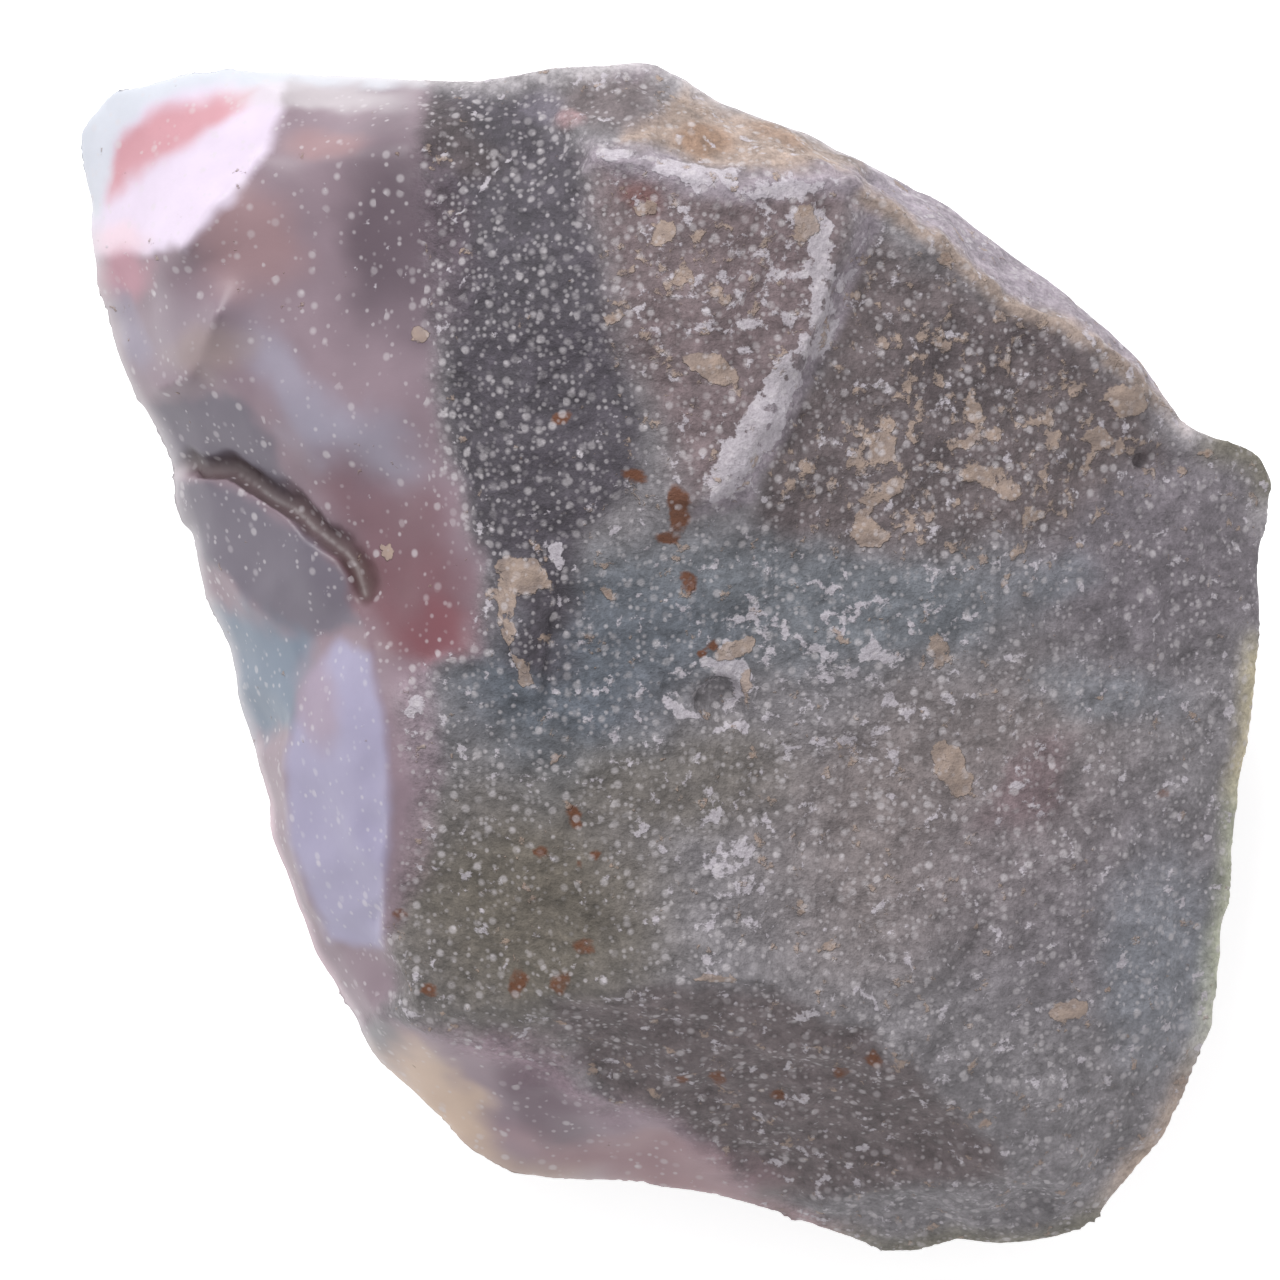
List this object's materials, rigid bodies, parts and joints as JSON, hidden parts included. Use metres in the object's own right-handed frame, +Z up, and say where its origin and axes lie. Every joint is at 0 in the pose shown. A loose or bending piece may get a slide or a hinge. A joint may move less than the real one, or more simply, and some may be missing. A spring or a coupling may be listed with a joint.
{
  "type": "rough bloodstone",
  "caption": "Rough, unpolished bloodstone: a chunky wedge with granular broken faces, a smooth waxy scoop, a raised flake and thin translucent edges.",
  "frame": {"origin": "below the middle of the stone's bounding box, on the plane of the flat spot that it rests on", "axes": "+Z up, out of the broad broken face; +X to the stone's right-hand corner and +Y to its back edge, seen from above with the pointed tip at the upper left"},
  "size_m": [0.0404, 0.0404, 0.019],
  "materials": {
    "bloodstone": "matte"
  },
  "bodies": {
    "root": {"bloodstone": "bloodstone"}
  },
  "joints": []
}
